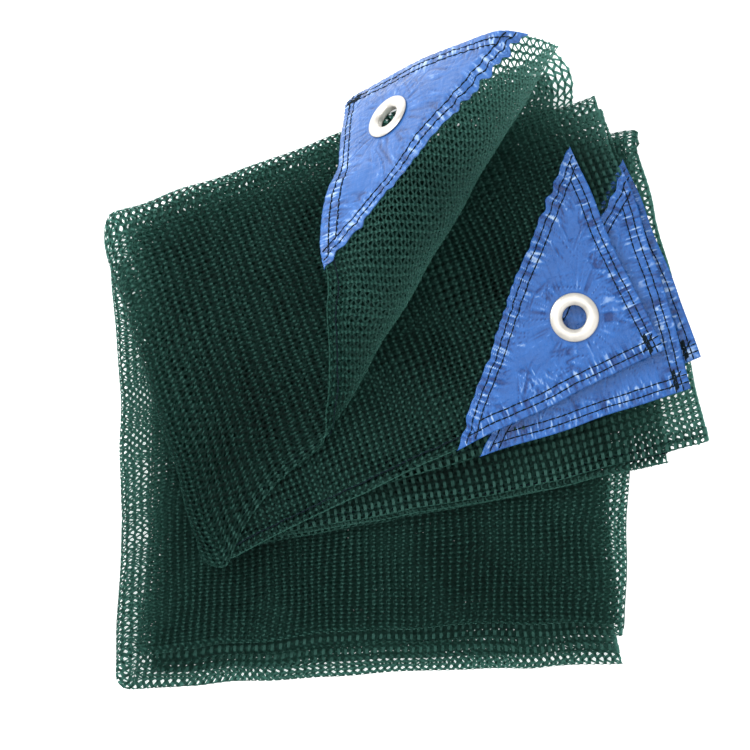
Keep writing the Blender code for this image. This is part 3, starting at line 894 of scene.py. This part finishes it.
# %% Knit the eight pieces
FULL_PIECES = ("A1", "A2", "B1")
WANDER = 4.0            # how far the chains wander
JITTER = 0.9            # and single loops
RIPPLE = 0.9            # and how far they rise and sink
KNIT_HOLE = 7.4         # radius of the holes for the eyelets
net_pieces = []
for panel_at, panel in enumerate("ABCD"):
    for half in (1, 2):
        first, last = wale_ends[panel_at], wale_ends[panel_at + 1]
        begin, end = repeat_ends[half - 1], repeat_ends[half]
        hem_start = END_GAP if half == 1 else END_GAP + (repeat_count - HEM) * repeat_pitch
        piece = run_tree(
            f"net_{panel.lower()}{half}", knitting,
            Stitch=full_stitch if panel + str(half) in FULL_PIECES else plain_stitch,
            Guide=net_guide, Holes=eyelet_centres, Wales=last - first, Repeats=end - begin,
            Wale_pitch=wale_pitch * MM, Repeat_pitch=repeat_pitch * MM,
            First_wale=(EDGE + first * wale_pitch) * MM, First_repeat=(END_GAP + begin * repeat_pitch) * MM,
            Hem_repeats=HEM, Hem_start=hem_start * MM, Flat_width=FLAT_WIDTH * MM,
            Flat_length=FLAT_LENGTH * MM, Wander=WANDER * MM, Jitter=JITTER * MM, Ripple=RIPPLE * MM,
            Hole_radius=KNIT_HOLE * MM, Seed=4.0, Material=net_tape)
        flat = ((last - first) * wale_pitch * MM, (end - begin + HEM) * repeat_pitch * MM)
        net_pieces.append((piece, flat))
        print(piece.name, "has", len(piece.data.polygons) * 2, "triangles")

# %% Net pieces join the frame
for piece, flat in net_pieces:
    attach(piece, "root")
    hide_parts("net")

# %% [markdown]
# ## Corner patches
# Each corner of the net is covered by a triangle of woven film. It is stiff and was folded and sewn, so it
# is full of sharp little crinkles, it puckers along its seams and folds run out from its eyelet. Heights
# added to a fine triangle of points give all of that, and they keep the patch on its cloth.

# %% Crinkled heights
PATCH_LEG = 112.0
PATCH_STEPS = 150
FILM_BASE = 1.15        # over the middle of the net
DEEPEST = -0.5          # no crinkle is deeper, or the knit would show through
ROWS_IN = (3.6, 7.2)    # the two seams, from the patch's edge
BORDER = 5.0            # the puckers are highest this far from the edge
BORDER_WIDTH = 5.5      # and fade over this width
PUCKER = 3.4            # size of a pucker along a seam
HELD = 11.5             # the eyelet holds the film flat out to here
SPOKE_REACH = 9.0       # folds run out from it over this length
CREASE_WAYS = (0.35, 1.25, 2.2)     # directions of the creases, in radians
SEAM_DENT = 0.25        # how deep a seam pulls the film in
SEAM_WIDTH = 0.8        # and how wide


def wrinkle(x, y, size, seed, octaves):
    """Smooth noise from -1 to 1 at a size in millimetres."""
    return noise.fractal(Vector((x / size, y / size, seed)), 1.0, 2.0, octaves)


def thin_ridge(value, width):
    """A thin ridge where a noise crosses zero."""
    return max(0.0, 1.0 - abs(value) / width)


def crinkle(s, t, seed):
    """The film's height over its base, in millimetres, and how raised or sunk it is there, from -1 to 1."""
    edge = min(s, t, (PATCH_LEG - s - t) / math.sqrt(2.0))
    along = t if edge == s else s if edge == t else (s - t) / math.sqrt(2.0)
    border = math.exp(-((edge - BORDER) / BORDER_WIDTH) ** 2)
    raised, sunk = (thin_ridge(wrinkle(along, edge * 0.15, PUCKER, seed + k, 2), 0.2) * border
                    for k in (2.0, 3.0))
    away = math.hypot(s - EYELET_INSET, t - EYELET_INSET)
    turn = math.atan2(t - EYELET_INSET, s - EYELET_INSET)
    loose = min(1.0, max(0.0, (away - HELD) / 3.0))
    near = loose * math.exp(-max(0.0, away - EYELET_FLAT) / SPOKE_REACH)
    width = 1.6 / max(away, 10.0)
    spokes = [noise.noise(Vector((math.cos(turn) * 5.0, math.sin(turn) * 5.0, seed + k))) for k in (0.0, 4.5)]
    raised = max(raised, 0.6 * thin_ridge(spokes[0], width) * near)
    sunk = max(sunk, thin_ridge(spokes[1], width) * near)
    for k, way in enumerate(CREASE_WAYS):
        u = s * math.cos(way) + t * math.sin(way)
        v = t * math.cos(way) - s * math.sin(way)
        shown = min(1.0, max(0.0, wrinkle(s, t, 18.0, seed + 7.0 + k, 1) * 4.0)) * loose
        crease = wrinkle(u * 0.2, v, 6.0, seed + 6.0 + 2.0 * k, 2)
        raised = max(raised, 0.5 * thin_ridge(crease - 0.1, 0.08) * shown)
        sunk = max(sunk, 0.8 * thin_ridge(crease + 0.1, 0.08) * shown)
    height = 0.5 * wrinkle(s, t, 28.0, seed + 5.0, 2) + 0.6 * raised - 0.5 * sunk
    height += 0.08 * wrinkle(s, t, 3.0, seed + 9.0, 2)
    for row in ROWS_IN:
        height -= SEAM_DENT * math.exp(-((edge - row) / SEAM_WIDTH) ** 2)
    # The second value is painted light: raised crinkles are painted pale, partly as whitening and partly as
    # highlight; sunk ones are painted dark as shading.
    return height * (0.1 + 0.9 * loose), (raised - sunk) * loose


# %% [markdown]
# ## Film on the cloth
# The triangle is laid out flat once, and its edge gets a second row of points that turns down, so that the
# film doesn't look like paper. Each patch then looks up its points on its own corner of the cloth, and its
# long edge is drawn in by waves, because the thread gathers it.

# %% The flat triangle
FILM_HOLE = 6.9         # radius of the hole for the eyelet
RIM_DROP = 0.7          # how far the edge turns down


def triangle():
    """Flat points of a right triangle, its faces, and the numbers of the points on its rim, in order."""
    index, faces = {}, []
    for i in range(PATCH_STEPS + 1):
        for j in range(PATCH_STEPS + 1 - i):
            index[i, j] = len(index)
    for i in range(PATCH_STEPS):
        for j in range(PATCH_STEPS - i):
            faces.append((index[i, j], index[i + 1, j], index[i, j + 1]))
            if i + j < PATCH_STEPS - 1:
                faces.append((index[i + 1, j], index[i + 1, j + 1], index[i, j + 1]))
    rim = [index[i, 0] for i in range(PATCH_STEPS + 1)]
    rim += [index[PATCH_STEPS - j, j] for j in range(1, PATCH_STEPS + 1)]
    rim += [index[0, j] for j in range(PATCH_STEPS - 1, 0, -1)]
    first = len(index)
    for k, start in enumerate(rim):
        after = (k + 1) % len(rim)
        faces.append((rim[after], start, first + k, first + after))
    return np.array(list(index), float) * PATCH_LEG / PATCH_STEPS, faces, rim


flat_film, film_faces, film_rim = triangle()
holed = np.append(np.hypot(*(flat_film - EYELET_INSET).T) <= FILM_HOLE, [False] * len(film_rim))
film_faces = [face for face in film_faces if not any(holed[v] for v in face)]
print("a patch has", len(film_faces), "faces")

# %% Patches
def bilinear(values, x, y):
    """Values of a grid at places between its points."""
    i = np.clip(x.astype(int), 0, values.shape[0] - 2)
    j = np.clip(y.astype(int), 0, values.shape[1] - 2)
    fx, fy = (x - i)[:, None], (y - j)[:, None]
    low = values[i, j] * (1 - fx) + values[i + 1, j] * fx
    high = values[i, j + 1] * (1 - fx) + values[i + 1, j + 1] * fx
    return low * (1 - fy) + high * fy


def patch(corner, scallop, share, painted_paleness):
    """A crinkled triangle of film over a corner of the net, with its edge turned down."""
    name, panel, half, face = corner
    seed = 10.0 * int(name)
    heights, whitening_and_painted_light = np.array([crinkle(s, t, seed) for s, t in flat_film.tolist()]).T * share
    slack = (PATCH_LEG - flat_film.sum(1)) / math.sqrt(2.0)
    run = (flat_film[:, 0] - flat_film[:, 1]) / math.sqrt(2.0)
    waves = np.array([noise.noise(Vector((value / 5.0, seed, 0.0))) for value in run])
    drawn = flat_film - (scallop * (0.6 + waves) * np.exp(-slack / 5.0))[:, None] / math.sqrt(2.0)
    drawn = np.clip(drawn, 0.0, PATCH_LEG)
    x = np.interp(drawn[:, 0], WIDTH_LINES, range(len(WIDTH_LINES)))
    y = np.interp(drawn[:, 1], LENGTH_LINES, range(len(LENGTH_LINES)))
    normal = bilinear(corner_view(corner, outward), x, y) * face
    normal /= np.linalg.norm(normal, axis=1)[:, None]
    base = bilinear(corner_view(corner, cloth), x, y)
    lifted = base + normal * (FILM_BASE + np.maximum(heights, DEEPEST))[:, None]
    turned = (base + normal * (FILM_BASE - RIM_DROP))[film_rim]
    points = np.concatenate([lifted, turned])
    uvs = np.concatenate([flat_film, flat_film[film_rim]]) / PATCH_LEG
    mirrored = (panel == "D") != (half == 2)
    faces = [f[::-1] for f in film_faces] if mirrored != (face < 0) else film_faces
    normals = np.concatenate([normal, normal[film_rim]])
    made = guide_sheet("patch_film_" + name, points, normals, uvs, faces, scene.collection)
    whitening_and_painted_light = np.append(whitening_and_painted_light, [0.0] * len(film_rim))
    for label, values in (("crinkle", whitening_and_painted_light), ("painted_paleness", np.full(len(points), painted_paleness))):
        stored = made.data.attributes.new(label, "FLOAT", "POINT")
        stored.data.foreach_set("value", values.astype(np.float32))
    made.data.materials.append(blue_film)
    made.data.shade_smooth()
    return made


# Columns: scallops of the long edge, share of the crinkles, painted light that makes the whole film paler.
PATCH_LOOKS = {"1": (2.4, 0.95, 0.06), "2": (1.5, 1.1, 0.0), "3": (1.1, 1.0, 0.0), "4": (1.1, 1.0, 0.0)}
films = {corner[0]: patch(corner, *PATCH_LOOKS[corner[0]]) for corner in CORNERS}
leg = PATCH_LEG * MM
for (name, panel, half, _), film in zip(CORNERS, films.values()):
    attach(film, "root")
    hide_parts("patch_" + name)
    print(film.name, "has", len(film.data.polygons), "faces")

# %% [markdown]
# ## Seams
# Two rows of thread run round each patch, and one along each hem. A thin cord of the net's own tape closes
# each cut end. A stitch is a short bead that dips into the cloth at both ends. Each row is a path in flat
# coordinates: it is cut into equal steps, gets a bead at every step and is wrapped like the knit.

# %% A stitch of thread
THREAD_PITCH = 3.1      # from one stitch to the next
BEAD = (3.4, 0.8, 0.5)  # length, width and height
BEAD_LIFT = 0.14        # its middle lies this much over the cloth
# The cords carry this value of the stitches' painted light, so the net's material colours them pale, between
# the sides and the crowns of the loops.
BEAD_PAINTED_LIGHT = 0.8        # for the cords, which are made of the net's tape


def bead():
    """One stitch of thread, from Blender's own sphere."""
    bm = bmesh.new()
    bmesh.ops.create_uvsphere(bm, u_segments=6, v_segments=4, radius=0.5)
    shade = bm.verts.layers.float.new("shade")
    for vert in bm.verts:
        vert[shade] = BEAD_PAINTED_LIGHT
        vert.co = Vector((vert.co.z * BEAD[0], vert.co.x * BEAD[1], vert.co.y * BEAD[2] + BEAD_LIFT)) * MM
    for face in bm.faces:
        face.smooth = True
    bmesh.ops.recalc_face_normals(bm, faces=bm.faces[:])
    return from_bmesh(bm, "bead", helpers)


def sewing_tree():
    """A tree that sews along a flat path and lays the thread on its guide."""
    tree, given = new_tree(
        "sewing", objects=["Bead", "Path", "Guide"],
        sizes=["Step", "Flat width", "Flat length", "Lift", "Loose", "Seed"], materials=["Material"])
    curve = node(tree, "GeometryNodeMeshToCurve", {}, {"Mesh": geometry_of(tree, given["Path"])})
    spaced = node(tree, "GeometryNodeResampleCurve", {"mode": "LENGTH"},
                  {"Curve": curve, "Length": given["Step"]})
    ahead = node(tree, "FunctionNodeAlignRotationToVector", {"axis": "X"},
                 {"Vector": node(tree, "GeometryNodeInputTangent")})
    beads = node(tree, "GeometryNodeInstanceOnPoints", {},
                 {"Points": spaced, "Instance": geometry_of(tree, given["Bead"]), "Rotation": ahead})
    laid = node(tree, "GeometryNodeRealizeInstances", {}, {"Geometry": beads})
    where = node(tree, "GeometryNodeInputPosition")
    offset = stray(tree, where, 160.0, 1.0, given["Seed"], given["Loose"])
    return wrap(tree, given, laid, offset, given["Lift"])


sewing, thread_bead = sewing_tree(), bead()

# %% Rows round the patches
TACK = 6.2              # the bar tack, from both edges
TACK_START, TACK_END = TACK - 3.0, TACK + 3.2
TACK_STEP, TACK_SLIP = 0.35, 0.2
SEAM_LOOSE = 0.9        # how far a stitch strays


def path_object(name, runs):
    """A helper with straight runs between flat places, in millimetres."""
    mesh = bpy.data.meshes.new(name)
    points = [(*spot, 0.0) for run in runs for spot in run]
    mesh.from_pydata([tuple(value * MM for value in point) for point in points],
                     [(2 * k, 2 * k + 1) for k in range(len(runs))], [])
    return add_object(name, mesh, helpers)


def seam_runs(inset):
    """The three sides of a triangle inside the patch."""
    far = PATCH_LEG - inset * (1.0 + math.sqrt(2.0)) - 1.0
    tip = PATCH_LEG - inset * math.sqrt(2.0) - 2.0
    return [((inset, 1.5), (inset, far)), ((1.5, inset), (far, inset)), ((tip, 2.0), (2.0, tip))]


def tack_runs():
    """Five short runs side by side where the seams cross, and one over them."""
    runs = []
    for k in range(-2, 3):
        x, slip = TACK + k * TACK_STEP, k * TACK_SLIP
        runs.append(((x, TACK_START - slip), (x, TACK_END - slip)))
    return runs + [((TACK - 2.8, TACK + 2.4), (TACK + 2.8, TACK - 2.4))]


for name, film in films.items():
    rows = path_object("rows_" + name, [run for inset in ROWS_IN for run in seam_runs(inset)] + tack_runs())
    thread = run_tree(
        "thread_" + name, sewing, Bead=thread_bead, Path=rows, Guide=film, Step=THREAD_PITCH * MM,
        Flat_width=leg, Flat_length=leg, Lift=0.0, Loose=SEAM_LOOSE * MM, Seed=float(name),
        Material=dark_thread)
    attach(thread, "root")
    print(thread.name, "has", len(thread.data.polygons), "faces")

# %% Rows along the hems, and the cords of their edges
HEM_ROW = 5.2           # from a cut end to the seam of its hem
EDGE_ROW = 0.8          # and to its cord
ROW_INSET = 2.0         # from a selvedge to the first stitch
ROW_LIFT = 0.3          # over the middle of the net

# Columns: name, place along the net, how far a stitch strays, material.
ALONG_ENDS = [
    ("hem_thread_1", HEM_ROW, 1.6, dark_thread), ("hem_thread_2", FLAT_LENGTH - HEM_ROW, 1.6, dark_thread),
    ("end_cord_1", EDGE_ROW, 0.6, net_tape), ("end_cord_2", FLAT_LENGTH - EDGE_ROW, 0.6, net_tape),
]
for name, place, loose, stuff in ALONG_ENDS:
    rows = path_object(name + "_rows", [((ROW_INSET, place), (FLAT_WIDTH - ROW_INSET, place))])
    thread = run_tree(
        name, sewing, Bead=thread_bead, Path=rows, Guide=net_guide, Step=THREAD_PITCH * MM,
        Flat_width=FLAT_WIDTH * MM, Flat_length=FLAT_LENGTH * MM, Lift=ROW_LIFT * MM, Loose=loose * MM,
        Seed=7.0, Material=stuff)
    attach(thread, "root")
    print(thread.name, "has", len(thread.data.polygons), "faces")

# %% [markdown]
# ## Eyelets
# An eyelet is pressed from sheet: a rolled flange in front, a barrel through the cloth and a washer behind.
# It is round, so a smooth profile is spun round its axis, as a lathe would. Each one sits in the
# plane that its square of cloth was pressed to.

# %% Profile and turning
# Columns: radius, height over the middle of the net.
EYELET_PROFILE = [
    (6.0, 1.9), (6.0, 0.8), (6.0, -0.4), (6.12, -1.05), (6.5, -1.45), (8.6, -1.5), (10.9, -1.5), (11.5, -1.4),
    (11.7, -1.15), (11.5, -0.88), (11.0, -0.8), (9.0, -0.8), (6.8, -0.8), (6.6, -0.6), (6.6, 0.7), (6.6, 1.9),
    (6.8, 1.9), (9.0, 1.9), (11.3, 1.72), (11.85, 1.74), (12.08, 1.84), (12.1, 2.0), (11.95, 2.2),
    (11.6, 2.42), (11.1, 2.62), (10.4, 2.84), (9.6, 2.98), (8.8, 3.02), (8.0, 2.98), (7.3, 2.8), (6.7, 2.5),
    (6.2, 2.15),
]
TURN_STEPS = 64


def eyelet(corner):
    """A turned eyelet in its plane."""
    name = corner[0]
    middle, side, normal = planes[name]
    up = Vector(normal)
    at = int(np.searchsorted(WIDTH_LINES, EYELET_INSET)), int(np.searchsorted(LENGTH_LINES, EYELET_INSET))
    if up.dot(Vector(corner_view(corner, outward)[at])) * corner[3] < 0:
        up.negate()
    across = Vector(side)
    place = Matrix.Translation((Vector(middle) - Vector(CENTRE)) * MM) @ Matrix(
        (across, up.cross(across), up)).transposed().to_4x4()
    bm = bmesh.new()
    ring = [bm.verts.new((radius * MM, 0.0, height * MM)) for radius, height in EYELET_PROFILE]
    for start, end in zip(ring, ring[1:] + ring[:1]):
        bm.edges.new((start, end))
    bmesh.ops.spin(bm, geom=bm.verts[:] + bm.edges[:], axis=(0, 0, 1), cent=(0, 0, 0), steps=TURN_STEPS,
                   angle=2 * math.pi)
    bmesh.ops.remove_doubles(bm, verts=bm.verts[:], dist=0.02 * MM)
    bmesh.ops.transform(bm, matrix=place, verts=bm.verts[:])
    bmesh.ops.recalc_face_normals(bm, faces=bm.faces[:])
    for face in bm.faces:
        face.smooth = True
    made = from_bmesh(bm, "eyelet_ring_" + name, scene.collection)
    made.data.materials.append(pale_metal)
    return made


for corner in CORNERS:
    ring = eyelet(corner)
    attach(ring, "root")
    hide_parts("eyelet_" + corner[0])
    box = np.array(ring.bound_box)
    off = np.abs(np.array([box.min(0), box.max(0)]) - np.array(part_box("eyelet_" + corner[0]))).max()
    print(ring.name, "differs from its CAD box by", round(float(off) / MM, 2), "mm")

# %% [markdown]
# ## Floor and light
# A white floor and broad lights give the even look of a catalogue picture. The key comes from the upper
# left, so that the turned corner throws a soft shadow to its right. The floor glows a little, as a lit
# table does, so that the holes at the net's edges show pale.

# %% Floor
FLOOR_DROP = 0.4        # below the packet, so that no face of it touches the floor

bm = bmesh.new()
bmesh.ops.create_grid(bm, x_segments=1, y_segments=1, size=3.0)
floor = from_bmesh(bm, "floor", scene.collection)
floor.data.transform(Matrix.Translation((0, 0, -FLOOR_DROP * MM)))
paper, paper_tree, paper_shader = new_material("paper")
fill(paper_tree, paper_shader, {
    "Base Color": (0.92, 0.92, 0.92, 1), "Roughness": 0.9, "Specular IOR Level": 0.1,
    "Emission Color": (1, 1, 1, 1), "Emission Strength": 0.55})
floor.data.materials.append(paper)

# %% Lights
# Columns: name, place, size, power in watts. Each one points at the middle of the packet.
LIGHTS = [
    ("key", (-0.7, 0.45, 0.7), 0.5, 8.5),
    ("fill", (0.9, -0.6, 1.3), 1.2, 5.0),
    ("top", (-0.1, 0.2, 1.8), 1.2, 10.0),
]
for name, spot, size, power in LIGHTS:
    light = bpy.data.lights.new(name, "AREA")
    light.size = size
    light.energy = power
    lamp = add_object(name, light, scene.collection)
    lamp.location = spot
    lamp.rotation_euler = (-Vector(spot)).to_track_quat("-Z", "Y").to_euler()

world = bpy.data.worlds.new("studio")
world.use_nodes = True
fill(world.node_tree, world.node_tree.nodes["Background"], {"Color": (1, 1, 1, 1), "Strength": 0.9})
scene.world = world
scene.view_settings.view_transform = "Standard"

# %% [markdown]
# ## Close the scene
# The guides have done their work, and the last cell removes them.

# %% Helpers out
for helper in list(helpers.objects):
    bpy.data.objects.remove(helper)
bpy.data.collections.remove(helpers)
